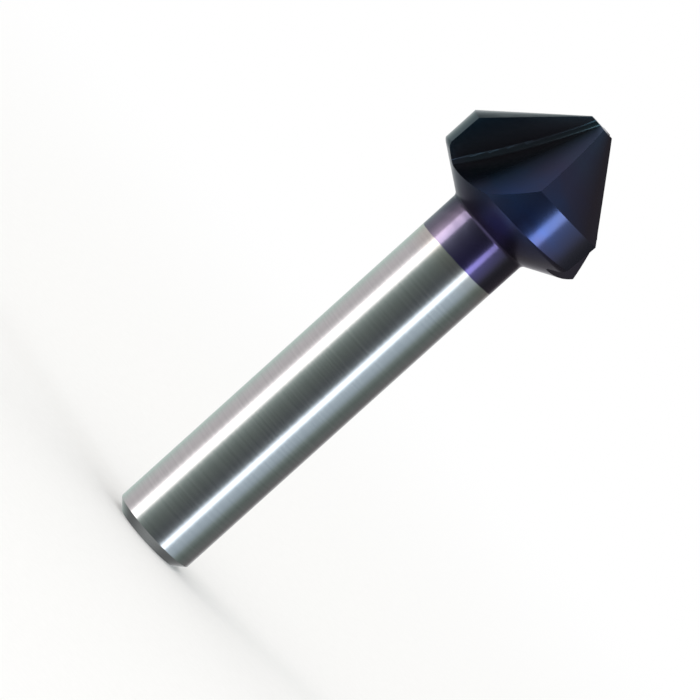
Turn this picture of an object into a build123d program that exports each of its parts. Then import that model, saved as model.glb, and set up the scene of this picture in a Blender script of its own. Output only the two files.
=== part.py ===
from build123d import *
from math import cos, radians, sin, sqrt, tan
import os

# Three-flute 90 degree countersink bit with a plain cylindrical shank.
#
# The bit stands on the end of its shank. The origin is the centre of that end
# face, and +Z runs along the bit's own axis to the cutting nose. The bit is
# ground from one bar, so it is one solid. Seen from the nose it turns
# anticlockwise to cut, which makes it a right-hand bit.

# ---------------------------------------------------------------------------
# Driving dimensions, in millimetres and degrees
# ---------------------------------------------------------------------------

# Bar and shank
overall_length = 63.0
shank_diameter = 10.0
shank_chamfer = 1.0            # 45 degree bevel round the end of the shank

# Head
head_diameter = 20.5           # across the circle that the cutting edges turn in
nose_diameter = 3.5            # flat left at the point
point_angle = 90.0             # included angle of the cutting cone
land_height = 4.0              # cylindrical part of the head
back_angle = 59.0              # side of the back cone, measured from the axis
back_corner_radius = 1.2       # rounding between the back cone and the land
neck_fillet_radius = 0.6       # where the back cone runs into the shank

# Teeth
tooth_count = 3
first_edge_angle = 207.0       # direction of the first cutting edge from +X
cone_relief_offset = 0.5       # how far the grinding axis of a cone stands forward
land_relief_offset = 0.5       # the same for the land below it
relief_overrun = 10.0          # angle by which the relief grind passes an edge
grinding_stock = 0.02          # left on the turned land until it is relieved

# Flutes, each cut by one pass of a grinding wheel
rake_angle = 5.0               # tilt of the wheel's flat side, which gives the edge its hook
wheel_radius = 80.0
wheel_corner_radius = 0.6      # leaves the rounded root of the flute
wheel_clearance = 2.0          # how far the wheel is wider than the deepest cut
core_radius_nose = 0.5         # flute floor to the axis, level with the nose
core_radius_land = 4.85        # flute floor to the axis, at the top of the land

# ---------------------------------------------------------------------------
# Radii, heights and directions that follow
# ---------------------------------------------------------------------------

shank_radius = shank_diameter / 2
head_radius = head_diameter / 2
nose_radius = nose_diameter / 2
turned_radius = head_radius + grinding_stock

cone_slope = tan(radians(point_angle / 2))
nose_height = overall_length
land_top = nose_height - (head_radius - nose_radius) / cone_slope
land_bottom = land_top - land_height
neck_height = land_bottom - (turned_radius - shank_radius) / tan(radians(back_angle))

tooth_pitch = 360 / tooth_count


def direction(angle):
    """Unit vector square to the bit's axis, at an angle from +X."""
    return Vector(cos(radians(angle)), sin(radians(angle)), 0)


outward = direction(first_edge_angle)          # to the first cutting edge
forward = direction(first_edge_angle + 90)     # the way the first tooth moves

# ---------------------------------------------------------------------------
# Turned blank: shank, back cone and a cylinder the size of the head
# ---------------------------------------------------------------------------

with BuildPart() as blank:
    with BuildSketch(Plane.XZ) as blank_half:
        with BuildLine():
            Polyline(
                (0, 0),
                (shank_radius - shank_chamfer, 0),
                (shank_radius, shank_chamfer),
                (shank_radius, neck_height),
                (turned_radius, land_bottom),
                (turned_radius, nose_height),
                (0, nose_height),
                close=True,
            )
        make_face()
        neck_corner = blank_half.vertices().sort_by_distance((shank_radius, neck_height))[0]
        fillet(neck_corner, neck_fillet_radius)
        back_corner = blank_half.vertices().sort_by_distance((turned_radius, land_bottom))[0]
        fillet(back_corner, back_corner_radius)
    revolve(axis=Axis.Z)

# ---------------------------------------------------------------------------
# Relieved form of one tooth. Its cone and its land are each ground about an
# axis that stands forward of the cutting edge, so both fall away behind it.
# ---------------------------------------------------------------------------

land_relief_centre = forward * land_relief_offset
land_relief_radius = sqrt(head_radius**2 + land_relief_offset**2)

cone_relief_centre = forward * cone_relief_offset
cone_relief_nose = sqrt(nose_radius**2 + cone_relief_offset**2)
cone_relief_foot = cone_relief_nose + (nose_height - land_bottom) * cone_slope

sector_start = first_edge_angle + relief_overrun - tooth_pitch
sector_radius = head_diameter                  # twice the head's own radius

with BuildPart() as tooth_form:
    with BuildSketch(Plane(origin=land_relief_centre)):
        Circle(land_relief_radius)
    extrude(amount=nose_height)

    with BuildSketch(Plane(origin=cone_relief_centre, x_dir=outward, z_dir=-forward)):
        with BuildLine():
            Polyline(
                (0, 0),
                (cone_relief_foot, 0),
                (cone_relief_foot, land_bottom),
                (cone_relief_nose, nose_height),
                (0, nose_height),
                close=True,
            )
        make_face()
    revolve(axis=Axis(cone_relief_centre, (0, 0, 1)), mode=Mode.INTERSECT)

    with BuildSketch():
        with BuildLine():
            arc = CenterArc((0, 0), sector_radius, sector_start, tooth_pitch)
            Line(arc @ 1, (0, 0))
            Line((0, 0), arc @ 0)
        make_face()
    extrude(amount=nose_height, mode=Mode.INTERSECT)

with BuildPart() as relieved_form:
    with PolarLocations(0, tooth_count):
        add(tooth_form.part)

# ---------------------------------------------------------------------------
# Grinding wheel that cuts the first flute. It is set out with its flat side in
# a plane that holds both the cutting edge and the bit's axis. Its rim cuts the
# floor, an arc through two points, one level with the nose and one at the top
# of the land, and the centre of that arc is the centre of the wheel. The wheel
# is then turned about the cutting edge by the rake angle. The edge itself stays
# where it was, and the rake face slopes back under it.
# ---------------------------------------------------------------------------

floor_rise = core_radius_land - core_radius_nose
floor_run = nose_height - land_top
floor_chord = sqrt(floor_rise**2 + floor_run**2)
chord_to_centre = sqrt(wheel_radius**2 - (floor_chord / 2) ** 2)

floor_middle_radius = (core_radius_nose + core_radius_land) / 2
floor_middle_height = (nose_height + land_top) / 2
wheel_centre_radius = floor_middle_radius + chord_to_centre * floor_run / floor_chord
wheel_centre_height = floor_middle_height + chord_to_centre * floor_rise / floor_chord
wheel_centre = outward * wheel_centre_radius + Vector(0, 0, wheel_centre_height)

wheel_width = head_radius + wheel_clearance

with BuildPart() as level_wheel:
    with BuildSketch(Plane(origin=wheel_centre, x_dir=-outward, z_dir=forward)):
        Circle(wheel_radius)
    extrude(amount=wheel_width)
    rims = level_wheel.edges().filter_by(GeomType.CIRCLE)
    fillet(rims.sort_by(Axis(wheel_centre, forward))[0], wheel_corner_radius)

edge_foot = outward * head_radius + Vector(0, 0, land_top)
edge_tip = outward * nose_radius + Vector(0, 0, nose_height)
cutting_edge = Axis(edge_foot, edge_tip - edge_foot)
wheel = level_wheel.part.rotate(cutting_edge, rake_angle)

# ---------------------------------------------------------------------------
# The bit: the blank is ground to the relieved form, then the flutes are cut
# ---------------------------------------------------------------------------

with BuildPart() as countersink_bit:
    add(blank.part)
    add(relieved_form.part, mode=Mode.INTERSECT)
    with PolarLocations(0, tooth_count):
        add(wheel, mode=Mode.SUBTRACT)

countersink_bit.part.label = "countersink_bit"

os.makedirs("parts", exist_ok=True)
export_step(countersink_bit.part, "parts/countersink_bit.step")
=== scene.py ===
# %% [markdown]
# A countersink bit cuts a cone-shaped seat for a screw head. It is ground from one bar of
# high-speed steel, so it is a single piece. Its shape comes ready made from the CAD model,
# with exact smooth normals. What is left to make here is how the steel looks: a bright
# ground shank, and a head under a thin dark coating. Bare metal has no look of its own
# and mirrors what stands round it, so the second half of the lesson is the studio.

import math

import bmesh
import bpy
from mathutils import Matrix, Vector


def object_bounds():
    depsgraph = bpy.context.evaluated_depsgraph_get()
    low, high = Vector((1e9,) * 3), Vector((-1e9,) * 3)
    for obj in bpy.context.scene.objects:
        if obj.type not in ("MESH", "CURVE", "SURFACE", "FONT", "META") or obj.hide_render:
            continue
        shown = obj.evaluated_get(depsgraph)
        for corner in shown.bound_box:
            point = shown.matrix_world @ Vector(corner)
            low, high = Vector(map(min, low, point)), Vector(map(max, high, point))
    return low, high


MM = 0.001

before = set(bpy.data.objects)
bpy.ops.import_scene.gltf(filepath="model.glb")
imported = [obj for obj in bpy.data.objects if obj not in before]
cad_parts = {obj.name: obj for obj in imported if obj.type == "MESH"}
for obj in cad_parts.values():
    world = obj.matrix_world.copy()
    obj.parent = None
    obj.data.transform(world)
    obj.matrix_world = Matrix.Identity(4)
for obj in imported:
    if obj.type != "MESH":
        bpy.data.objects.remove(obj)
cad_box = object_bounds()
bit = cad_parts["countersink_bit"]
bit_height = cad_box[1][2]
print("CAD box in mm:", [round(value / MM, 2) for corner in cad_box for value in corner])

# %% [markdown]
# Colours are easiest to pick as sRGB hex, but shader nodes work in linear light. One
# function turns the first into the second. A second function adds a node, sets its
# properties and sockets, and links its inputs. With it a material reads as a short list.

# %% Two helpers


def colour(hex_code):
    """sRGB hex to the linear RGBA that a shader socket takes."""
    values = [int(hex_code[i:i + 2], 16) / 255 for i in (1, 3, 5)]
    linear = [v / 12.92 if v <= 0.04045 else ((v + 0.055) / 1.055) ** 2.4 for v in values]
    return (*linear, 1.0)


def add_node(tree, kind, settings=None, links=None, **sockets):
    """Adds a node. An underscore in a socket's name stands for a space."""
    node = tree.nodes.new("ShaderNode" + kind)
    for name, value in (settings or {}).items():
        setattr(node, name, value)
    for name, value in sockets.items():
        node.inputs[name.replace("_", " ")].default_value = value
    for name, source in (links or {}).items():
        tree.links.new(source, node.inputs[name])
    return node


print("mid grey in linear light:", round(colour("#808080")[0], 3))

# %% [markdown]
# The CAD mesh has one material slot and stays as it is, so one material carries both
# finishes and a mask splits them by height. Object coordinates are in metres from the
# centre of the shank's end, so the mask can use a height measured on the bit. A coating
# never ends in a perfect line: the bit stands in a holder in the coating chamber, and the
# edge wanders by a tenth of a millimetre or two. Slow noise added to the height does that.

# %% Where the coating ends
COATING_START = 42.95 * MM
WANDER = 0.3 * MM              # the furthest the noise could move it; it seldom gets half way
WANDER_WAVES = 180.0           # in a metre, so one wave in 5.6 mm
SOFT_EDGE = 0.12 * MM          # the coating thins out over this height

steel = bpy.data.materials.new("ground_high_speed_steel_with_dark_wear_coating")
steel.use_nodes = True
tree = steel.node_tree
tree.nodes.clear()

place = add_node(tree, "TexCoord")
axes = add_node(tree, "SeparateXYZ", links={"Vector": place.outputs["Object"]})
slow_noise = add_node(tree, "TexNoise", links={"Vector": place.outputs["Object"]},
                      Scale=WANDER_WAVES, Detail=2.0)
shift = add_node(tree, "MapRange", links={"Value": slow_noise.outputs["Fac"]},
                 To_Min=-WANDER, To_Max=WANDER)
height = add_node(tree, "Math", {"operation": "ADD"},
                  {0: axes.outputs["Z"], 1: shift.outputs["Result"]})
coated = add_node(tree, "MapRange", {"interpolation_type": "SMOOTHSTEP"},
                  {"Value": height.outputs["Value"]},
                  From_Min=COATING_START - SOFT_EDGE / 2, From_Max=COATING_START + SOFT_EDGE / 2)
print("coated from", round(COATING_START / MM, 2), "mm up")

# %% [markdown]
# A shank is ground on centres. It turns while a wheel runs along it, and the wheel leaves
# fine rings round it. Real rings are about 0.04 mm apart. They are drawn six times coarser
# here, or no camera at this distance would show them. Noise becomes rings when its space is
# squeezed: 1 unit across for 25 mm, 1 unit up for a quarter of a millimetre.

# %% Rings left by the grinding wheel
RING_LENGTH = 25 * MM
RING_SPACING = 0.25 * MM

squeeze = add_node(tree, "Mapping", links={"Vector": place.outputs["Object"]},
                   Scale=(1 / RING_LENGTH, 1 / RING_LENGTH, 1 / RING_SPACING))
rings = add_node(tree, "TexNoise", links={"Vector": squeeze.outputs["Vector"]},
                 Scale=1.0, Detail=3.0, Roughness=0.6)
print("ring spacing drawn, mm:", round(RING_SPACING / MM, 2))

# %% [markdown]
# Bare high-speed steel is a neutral, light grey. The rings change its tone and its gloss a
# little, which makes it look ground and not polished. Just below the coating the steel has
# been hot in a thin vapour, which leaves a faint straw tint that fades downwards.

# %% Bare ground steel
STRAW_HEIGHT = 3 * MM
STRAW_MOST = 0.25
BARE_ROUGHNESS = (0.2, 0.3)

grain = add_node(tree, "Mix", {"data_type": "RGBA"}, {"Factor": rings.outputs["Fac"]})
grain.inputs["A"].default_value = colour("#babfc0")
grain.inputs["B"].default_value = colour("#d2d6d6")

straw_share = add_node(tree, "MapRange", {"interpolation_type": "SMOOTHSTEP"},
                       {"Value": height.outputs["Value"]},
                       From_Min=COATING_START - STRAW_HEIGHT, From_Max=COATING_START,
                       To_Max=STRAW_MOST)
bare = add_node(tree, "Mix", {"data_type": "RGBA"},
                {"Factor": straw_share.outputs["Result"], "A": grain.outputs["Result"]})
bare.inputs["B"].default_value = colour("#b7ab93")

bare_gloss = add_node(tree, "MapRange", links={"Value": rings.outputs["Fac"]},
                      To_Min=BARE_ROUGHNESS[0], To_Max=BARE_ROUGHNESS[1])
print("bare steel roughness:", BARE_ROUGHNESS)

# %% [markdown]
# The coating is a nitride a few thousandths of a millimetre thick. It mirrors with its own
# colour, so it is nearly all metallic, with a dark base colour. Its hue follows its
# thickness, so the colours are ramps along the height, in pairs of millimetres and hex. The
# neck lay in the shade of the head and is violet, and the head is blue at the front. The
# left ramp is paler on the neck and darker and greener on the head. That side tone is
# painted and stands in for the tint of the reflections on the left. Cloudy noise moves the
# colours up and down by a millimetre or so.

# %% Hues of the dark coating
# The left ramp is partly painted: on the left its tones stand in for the tint of the reflections
# there.
LEFT_HUES = [(44.0, "#9890a6"), (48.0, "#5a566c"), (51.5, "#2f4650"), (58.0, "#38464f"),
             (63.0, "#3b5a64")]
FRONT_HUES = [(44.0, "#655d92"), (48.0, "#544e70"), (51.5, "#495f98"), (54.5, "#4c5c88"),
              (57.0, "#545777"), (63.0, "#4f6078")]
CLOUD_WAVES = 320.0            # in a metre, so one cloud in 3 mm
CLOUD_SHIFT = 2.0 * MM         # the furthest either way; most of it stays within half


def fill_ramp(ramp, stops):
    """Puts (position, linear RGBA) stops on a colour ramp."""
    while len(ramp.elements) < len(stops):
        ramp.elements.new(1.0)
    for element, (position, value) in zip(ramp.elements, stops):
        element.position = position
        element.color = value


def hue_by_height(hues, level):
    """A colour ramp whose stops are heights on the bit in millimetres."""
    low = hues[0][0]
    span = hues[-1][0] - low
    position = add_node(tree, "MapRange", links={"Value": level},
                        From_Min=low * MM, From_Max=(low + span) * MM)
    ramp = add_node(tree, "ValToRGB", links={"Fac": position.outputs["Result"]})
    fill_ramp(ramp.color_ramp, [((z - low) / span, colour(code)) for z, code in hues])
    return ramp.outputs["Color"]


clouds = add_node(tree, "TexNoise", links={"Vector": place.outputs["Object"]},
                  Scale=CLOUD_WAVES, Detail=4.0, Distortion=0.6)
cloud_shift = add_node(tree, "MapRange", links={"Value": clouds.outputs["Fac"]},
                       To_Min=-CLOUD_SHIFT, To_Max=CLOUD_SHIFT)
hue_height = add_node(tree, "Math", {"operation": "ADD"},
                      {0: axes.outputs["Z"], 1: cloud_shift.outputs["Result"]})
left_film_and_painted_tone = hue_by_height(LEFT_HUES, hue_height.outputs["Value"])
front_film = hue_by_height(FRONT_HUES, hue_height.outputs["Value"])
print("hues on the left and at the front:", len(LEFT_HUES), "and", len(FRONT_HUES))

# %% [markdown]
# The left side has to blend into the front. The direction away from the axis tells them
# apart: it is the place on the bit with its height taken out, made one unit long. Its X
# runs from -1 at the far left to 1 at the far right, and it is 0 where the front faces the
# camera. The two far sides get another, darker tone, which is painted: it dims and tints
# the reflections on those sides. A third ramp lies from left to right for that, with its
# alpha as the share of the new tone.

# %% Film round the bit, with painted tones on the sides
LEFT_TO_FRONT = (-0.75, 0.1)
# Each stop: place from left to right, colour, share. These tones are painted: they dim and tint
# the reflections on the far sides.
FAR_SIDE_PAINTED_TONES = [(-0.82, "#2b3f48", 0.5), (-0.70, "#2b3f48", 0.0), (0.30, "#4a434b", 0.0),
             (0.72, "#4a434b", 0.9)]
COAT_ROUGHNESS = (0.13, 0.24)

flat = add_node(tree, "VectorMath", {"operation": "MULTIPLY"}, {0: place.outputs["Object"]})
flat.inputs[1].default_value = (1, 1, 0)
facing = add_node(tree, "VectorMath", {"operation": "NORMALIZE"}, {0: flat.outputs["Vector"]})
side = add_node(tree, "SeparateXYZ", links={"Vector": facing.outputs["Vector"]})
front_share = add_node(tree, "MapRange", {"interpolation_type": "SMOOTHSTEP"},
                       {"Value": side.outputs["X"]},
                       From_Min=LEFT_TO_FRONT[0], From_Max=LEFT_TO_FRONT[1])
film = add_node(tree, "Mix", {"data_type": "RGBA"}, {
    "Factor": front_share.outputs["Result"], "A": left_film_and_painted_tone, "B": front_film})

across = add_node(tree, "MapRange", links={"Value": side.outputs["X"]},
                  From_Min=-1.0, From_Max=1.0)
far_sides_painted_tone = add_node(tree, "ValToRGB", links={"Fac": across.outputs["Result"]})
fill_ramp(far_sides_painted_tone.color_ramp, [((x + 1) / 2, (*colour(code)[:3], share))
                                 for x, code, share in FAR_SIDE_PAINTED_TONES])
hue = add_node(tree, "Mix", {"data_type": "RGBA"}, {
    "Factor": far_sides_painted_tone.outputs["Alpha"], "A": film.outputs["Result"],
    "B": far_sides_painted_tone.outputs["Color"]})
coat_gloss = add_node(tree, "MapRange", links={"Value": clouds.outputs["Fac"]},
                      To_Min=COAT_ROUGHNESS[0], To_Max=COAT_ROUGHNESS[1])
print("coating roughness:", COAT_ROUGHNESS)

# %% [markdown]
# A flute has two faces. The one that ends in the cutting edge is ground fine, because its
# finish decides how sharp the edge is. The wall behind it only clears chips and is left
# rougher. It is found by where it points. The outside of the bit points away from the axis
# and hardly round it, but that wall does. The dot product of its normal with the direction
# round the axis is high there, and negative on the cutting face.

# %% Rough walls of the flutes
WALL_SLANT = (0.2, 0.5)        # below the first it isn't that wall, above the second it is
WALL_ROUGHNESS = 0.42

round_axis = add_node(tree, "VectorMath", {"operation": "CROSS_PRODUCT"},
                      {0: facing.outputs["Vector"]})
round_axis.inputs[1].default_value = (0, 0, 1)
slant = add_node(tree, "VectorMath", {"operation": "DOT_PRODUCT"},
                 {0: round_axis.outputs["Vector"], 1: place.outputs["Normal"]})
wall_share = add_node(tree, "MapRange", {"interpolation_type": "SMOOTHSTEP"},
                      {"Value": slant.outputs["Value"]},
                      From_Min=WALL_SLANT[0], From_Max=WALL_SLANT[1])
flute_gloss = add_node(tree, "Mix", links={
    "Factor": wall_share.outputs["Result"], "A": coat_gloss.outputs["Result"]},
    B=WALL_ROUGHNESS)
print("flute wall roughness:", WALL_ROUGHNESS)

# %% [markdown]
# Ambient Occlusion measures how shut in a point is: 1 in the open, about 0.5 in a square
# inner corner. Where it is low, the coating's colour turns darker. That is painted shade in
# the roots of the flutes, and the coating is also made rougher and a little less metallic there.

# %% Painted shade in the roots of the flutes
FLUTE_REACH = 6 * MM           # how far the measuring rays look for a wall
ROOT_TO_OPEN = (0.6, 0.82)
ROOT_ROUGHNESS = 0.55
METALLIC = (0.85, 0.985)       # in the root and in the open

shut_in = add_node(tree, "AmbientOcclusion", {"samples": 6}, Distance=FLUTE_REACH)
open_share = add_node(tree, "MapRange", {"interpolation_type": "SMOOTHSTEP"},
                      {"Value": shut_in.outputs["AO"]},
                      From_Min=ROOT_TO_OPEN[0], From_Max=ROOT_TO_OPEN[1])
# Colour A below is painted shade: the roots of the flutes darken where they are shut in.
coat_with_painted_root_shade = add_node(tree, "Mix", {"data_type": "RGBA"}, {
    "Factor": open_share.outputs["Result"], "B": hue.outputs["Result"]})
coat_with_painted_root_shade.inputs["A"].default_value = colour("#2c2a30")
root_gloss = add_node(tree, "Mix", links={
    "Factor": open_share.outputs["Result"], "B": flute_gloss.outputs["Result"]},
    A=ROOT_ROUGHNESS)
root_metal = add_node(tree, "MapRange", links={"Value": open_share.outputs["Result"]},
                       To_Min=METALLIC[0], To_Max=METALLIC[1])
print("the measuring rays look", round(FLUTE_REACH / MM, 1), "mm far")

# %% [markdown]
# The mask now picks colour, roughness and metallic for each point. Rings scatter light
# mostly up and down the bit, across the grooves, so the highlight is stretched along the
# axis. The tangent runs round Z, and a quarter turn lays the stretch along Z. The rings are
# also a bump of a few thousandths of a millimetre, enough to break up a clean reflection.
# The coating softens them, so both are weaker there. Seen edge on, any metal turns into a
# white mirror. Specular Tint holds that back a little on the dark coating.

# %% Join the two finishes
STRETCH = (0.5, 0.2)           # on bare steel and on the coating
RING_STRENGTH = (0.2, 0.08)    # in the same order
RING_DEPTH = 0.004 * MM

surface = add_node(tree, "Mix", {"data_type": "RGBA"}, {
    "Factor": coated.outputs["Result"], "A": bare.outputs["Result"],
    "B": coat_with_painted_root_shade.outputs["Result"]})
gloss = add_node(tree, "Mix", links={
    "Factor": coated.outputs["Result"], "A": bare_gloss.outputs["Result"],
    "B": root_gloss.outputs["Result"]})
metal = add_node(tree, "Mix", links={
    "Factor": coated.outputs["Result"], "B": root_metal.outputs["Result"]}, A=1.0)
edge = add_node(tree, "Mix", {"data_type": "RGBA"}, {"Factor": coated.outputs["Result"]})
edge.inputs["A"].default_value = colour("#ffffff")
edge.inputs["B"].default_value = colour("#e6e6ea")
stretch = add_node(tree, "MapRange", links={"Value": coated.outputs["Result"]},
                   To_Min=STRETCH[0], To_Max=STRETCH[1])
around = add_node(tree, "Tangent", {"direction_type": "RADIAL", "axis": "Z"})
depth = add_node(tree, "MapRange", links={"Value": coated.outputs["Result"]},
                 To_Min=RING_STRENGTH[0], To_Max=RING_STRENGTH[1])
relief = add_node(tree, "Bump", links={
    "Height": rings.outputs["Fac"], "Strength": depth.outputs["Result"]},
    Distance=RING_DEPTH)
shader = add_node(tree, "BsdfPrincipled", links={
    "Base Color": surface.outputs["Result"], "Roughness": gloss.outputs["Result"],
    "Metallic": metal.outputs["Result"], "Specular Tint": edge.outputs["Result"],
    "Anisotropic": stretch.outputs["Result"],
    "Tangent": around.outputs["Tangent"], "Normal": relief.outputs["Normal"]},
    Anisotropic_Rotation=0.25)
add_node(tree, "OutputMaterial", links={"Surface": shader.outputs["BSDF"]})
bit.material_slots[0].material = steel
print("nodes in the material:", len(tree.nodes))

# %% [markdown]
# Metal shows its surroundings, so they are drawn on purpose. Walk once round the bit, with
# 0 at the camera and positive angles to its right. There is a dark camera side, a bright
# wall on the left, a bright panel with a dark gap behind it on the right, and a white
# backdrop at the back. The colour ramp holds that walk, and the world shader finds its place
# on it from the direction of the mirrored ray, which is what Generated gives in a world. The
# slight tints are those of a real room.

# %% Walls round the bit
TINTS = {"white": "#ffffff", "rose": "#fff3f5", "green": "#ecfff6", "blue": "#e2f1ff"}
# Each stop: degrees round the bit, brightness against white, tint.
WALLS = [(-180, 0.92, "white"), (-152, 0.74, "green"), (-110, 0.76, "rose"),
         (-94, 0.70, "rose"), (-80, 1.00, "rose"), (-50, 0.50, "green"), (-38, 0.29, "green"),
         (-22, 0.16, "green"), (-8, 0.11, "green"), (12, 0.065, "blue"), (26, 0.10, "blue"),
         (36, 0.34, "blue"), (56, 0.78, "blue"), (74, 0.66, "blue"), (90, 0.27, "green"),
         (102, 0.16, "green"), (145, 0.18, "rose"), (172, 0.85, "white"),
         (180, 0.92, "white")]

world = bpy.data.worlds.new("studio")
bpy.context.scene.world = world
world.use_nodes = True
tree = world.node_tree
tree.nodes.clear()

way = add_node(tree, "TexCoord")
axes = add_node(tree, "SeparateXYZ", links={"Vector": way.outputs["Generated"]})
toward = add_node(tree, "Math", {"operation": "MULTIPLY"}, {0: axes.outputs["Y"]})
toward.inputs[1].default_value = -1.0
turn = add_node(tree, "Math", {"operation": "ARCTAN2"},
                {0: axes.outputs["X"], 1: toward.outputs["Value"]})
lap = add_node(tree, "MapRange", links={"Value": turn.outputs["Value"]},
               From_Min=-math.pi, From_Max=math.pi)
walls = add_node(tree, "ValToRGB", links={"Fac": lap.outputs["Result"]})
fill_ramp(walls.color_ramp, [
    ((angle + 180) / 360, [level * part for part in colour(TINTS[tint])[:3]] + [1.0])
    for angle, level, tint in WALLS])
print("stops on the walk round the bit:", len(WALLS))

# %% [markdown]
# Above the walls is a dim ceiling and below them a table. The cone of the head mirrors the
# one and its back the other. A second ramp holds how bright they are, by the Z of the ray's
# direction, from -1 straight down to 1 straight up. Both fade in over the walls.

# %% Ceiling and table
HEIGHTS = [(-1.0, 0.30), (-0.96, 0.25), (-0.86, 0.15), (-0.3, 0.12), (0.3, 0.20),
           (1.0, 0.20)]
CEILING_FADE = (0.10, 0.45)
TABLE_FADE = (-0.12, -0.75)

lift = add_node(tree, "MapRange", links={"Value": axes.outputs["Z"]},
                From_Min=-1.0, From_Max=1.0)
ends = add_node(tree, "ValToRGB", links={"Fac": lift.outputs["Result"]})
fill_ramp(ends.color_ramp, [((z + 1) / 2, (level, level, level, 1.0)) for z, level in HEIGHTS])
high_share = add_node(tree, "MapRange", links={"Value": axes.outputs["Z"]},
                      From_Min=CEILING_FADE[0], From_Max=CEILING_FADE[1])
low_share = add_node(tree, "MapRange", links={"Value": axes.outputs["Z"]},
                     From_Min=TABLE_FADE[0], From_Max=TABLE_FADE[1])
end_share = add_node(tree, "Math", {"operation": "MAXIMUM"}, {
    0: high_share.outputs["Result"], 1: low_share.outputs["Result"]})
room = add_node(tree, "Mix", {"data_type": "RGBA"}, {
    "Factor": end_share.outputs["Value"], "A": walls.outputs["Color"],
    "B": ends.outputs["Color"]})
print("ceiling brightness:", HEIGHTS[-1][1])

# %% [markdown]
# Behind the bit the table lies in the shade of the backdrop, and in front of it the lamps
# make it bright. A ray that goes both towards the camera and down gets that light added.

# %% Lit table in front
TOWARD_FADE = (0.0, 0.5)
DOWN_FADE = (-0.3, -0.8)
TABLE_LIGHT = 0.45

in_front = add_node(tree, "MapRange", {"interpolation_type": "SMOOTHSTEP"},
                    {"Value": toward.outputs["Value"]},
                    From_Min=TOWARD_FADE[0], From_Max=TOWARD_FADE[1])
below = add_node(tree, "MapRange", links={"Value": axes.outputs["Z"]},
                 From_Min=DOWN_FADE[0], From_Max=DOWN_FADE[1], To_Max=TABLE_LIGHT)
lit = add_node(tree, "Math", {"operation": "MULTIPLY"}, {
    0: in_front.outputs["Result"], 1: below.outputs["Result"]})
lit_room = add_node(tree, "Mix", {"data_type": "RGBA", "blend_type": "ADD"}, {
    "A": room.outputs["Result"], "B": lit.outputs["Value"]}, Factor=1.0)
print("light added to the table in front:", TABLE_LIGHT)

# %% [markdown]
# The camera sees a plain white background, and so do the soft rays that light the paper.
# Mirrored rays see the room, whose back is nearly that white. Light Path tells the rays
# apart. A background strength of 1 is white.

# %% White background
ray = add_node(tree, "LightPath")
mirrored = add_node(tree, "Math", {"operation": "MAXIMUM"}, {
    0: ray.outputs["Is Glossy Ray"], 1: ray.outputs["Is Transmission Ray"]})
seen = add_node(tree, "Mix", {"data_type": "RGBA"}, {
    "Factor": mirrored.outputs["Value"], "B": lit_room.outputs["Result"]})
seen.inputs["A"].default_value = colour("#ffffff")
sky = add_node(tree, "Background", links={"Color": seen.outputs["Result"]}, Strength=1.0)
add_node(tree, "OutputWorld", links={"Surface": sky.outputs["Background"]})
print("background strength:", sky.inputs["Strength"].default_value)

# %% [markdown]
# Two tall soft boxes make the two bright bands along the shank. A round bar mirrors a wide
# arc of the room in a narrow strip, so a box has to be tall and wide to show as a band. The
# left box is wider, further round to the side, and a touch warmer than the right one.

# %% Two strip boxes
BOX_HEIGHT = 1.2
BOX_DISTANCE = 0.9
BOX_MIDDLE = 30 * MM           # above the floor, near the middle of the bit


def strip_box(name, angle, width, power, tint):
    """A tall area lamp that faces the bit: degrees from the camera side, metres, watts."""
    lamp = bpy.data.lights.new(name, "AREA")
    lamp.shape = "RECTANGLE"
    lamp.size = width
    lamp.size_y = BOX_HEIGHT
    lamp.energy = power
    lamp.color = colour(tint)[:3]
    box = bpy.data.objects.new(name, lamp)
    bpy.context.scene.collection.objects.link(box)
    turned = math.radians(angle)
    away = Vector((math.sin(turned), -math.cos(turned), 0))
    box.location = Vector((0, 0, BOX_MIDDLE)) + away * BOX_DISTANCE
    box.rotation_euler = away.to_track_quat("Z", "Y").to_euler()
    box.visible_camera = False
    brightness = power / (math.pi * width * BOX_HEIGHT)
    print(name, "brightness against white:", round(brightness, 2))


strip_box("left_strip_box", -64.7, 0.40, 3.1, "#fff3f2")
strip_box("right_strip_box", 42.0, 0.22, 2.1, "#f2f6ff")

# %% [markdown]
# The floor is matt white paper. Close to the bit it is a real surface that takes the soft
# shadow. Further out it turns into plain white light for the camera, so that it meets the
# white background with no edge. The metal doesn't mirror it: at this low camera the floor
# would hide half of the room and the bands would lose their clean shape. It casts no shadow
# either, because the lower half of each strip box stands below it.

# %% Paper floor
FLOOR_REACH = 8.0              # metres from the bit to the edge of the paper
PAPER_TO_LIGHT = (50 * MM, 350 * MM)
FIBRE_WAVES = 900.0            # in a metre; real fibres are finer and wouldn't show

shape = bmesh.new()
bmesh.ops.create_grid(shape, x_segments=1, y_segments=1, size=FLOOR_REACH)
mesh = bpy.data.meshes.new("paper_floor")
shape.to_mesh(mesh)
shape.free()
floor = bpy.data.objects.new("paper_floor", mesh)
bpy.context.scene.collection.objects.link(floor)
floor.visible_glossy = False
floor.visible_shadow = False

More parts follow.
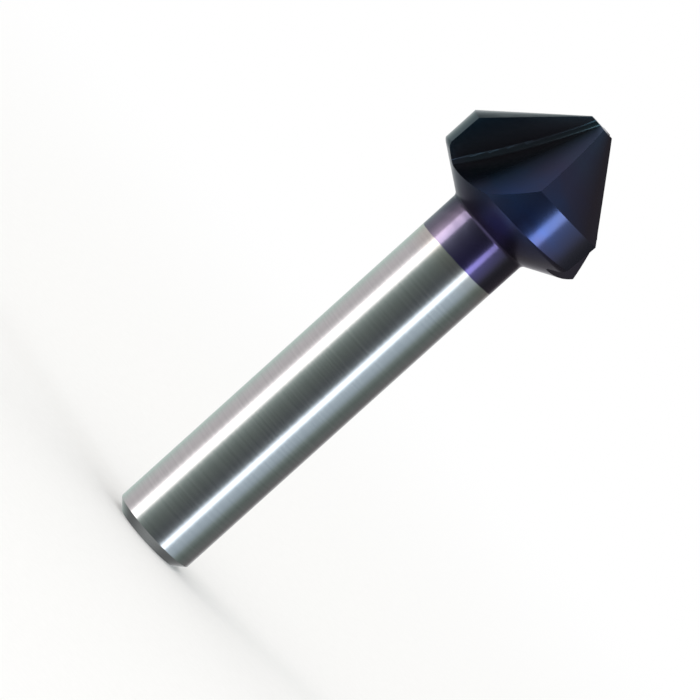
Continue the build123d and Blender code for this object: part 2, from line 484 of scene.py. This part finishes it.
paper = bpy.data.materials.new("matt_white_paper")
paper.use_nodes = True
tree = paper.node_tree
tree.nodes.clear()
place = add_node(tree, "TexCoord")
reach = add_node(tree, "VectorMath", {"operation": "LENGTH"}, {0: place.outputs["Object"]})
far = add_node(tree, "MapRange", {"interpolation_type": "SMOOTHSTEP"},
               {"Value": reach.outputs["Value"]},
               From_Min=PAPER_TO_LIGHT[0], From_Max=PAPER_TO_LIGHT[1])
fibres = add_node(tree, "TexNoise", links={"Vector": place.outputs["Object"]},
                  Scale=FIBRE_WAVES, Detail=3.0)
tone = add_node(tree, "Mix", {"data_type": "RGBA"}, {"Factor": fibres.outputs["Fac"]})
tone.inputs["A"].default_value = colour("#f2f2f0")
tone.inputs["B"].default_value = colour("#f7f7f5")
matt = add_node(tree, "BsdfDiffuse", links={"Color": tone.outputs["Result"]})
white = add_node(tree, "Emission", Color=colour("#ffffff"), Strength=1.0)
blend = add_node(tree, "MixShader", links={
    "Fac": far.outputs["Result"], 1: matt.outputs["BSDF"], 2: white.outputs["Emission"]})
add_node(tree, "OutputMaterial", links={"Surface": blend.outputs["Shader"]})
mesh.materials.append(paper)
print("paper floor, m across:", 2 * FLOOR_REACH)

# %% [markdown]
# The bit stands upright in its own frame, and here it is shown leaning to the right. So the
# camera leans instead: it looks from a little above, rolled until the bit's axis climbs at
# 42 degrees across the picture. A long lens from 0.8 m keeps the sides of the shank parallel.

# %% Camera
ELEVATION = math.radians(5.3)
CLIMB = math.radians(42.02)
DISTANCE = 0.8
LENS = 401.4                   # focal length in mm
AIM_LEFT = 2.50 * MM           # the aim is this far left of the bit's middle and below it,
AIM_DOWN = 1.74 * MM           # so the bit stands a little right of centre and above it

back = Vector((0, -math.cos(ELEVATION), math.sin(ELEVATION)))
level_up = Vector((0, math.sin(ELEVATION), math.cos(ELEVATION)))
level_right = Vector((1, 0, 0))
right = math.cos(CLIMB) * level_up + math.sin(CLIMB) * level_right
up = math.sin(CLIMB) * level_up - math.cos(CLIMB) * level_right
aim = Vector((0, 0, bit_height / 2)) - right * AIM_LEFT - up * AIM_DOWN

camera = bpy.data.objects.new("camera", bpy.data.cameras.new("camera"))
bpy.context.scene.collection.objects.link(camera)
camera.matrix_world = Matrix((tuple(right), tuple(up), tuple(back))).transposed().to_4x4()
camera.location = aim + back * DISTANCE
camera.data.lens = LENS
camera.data.clip_start = 0.01
camera.data.clip_end = 50
bpy.context.scene.camera = camera
bpy.context.scene.view_settings.view_transform = "Standard"
field = camera.data.sensor_width / LENS * DISTANCE
print("picture covers", round(field / MM, 1), "mm")
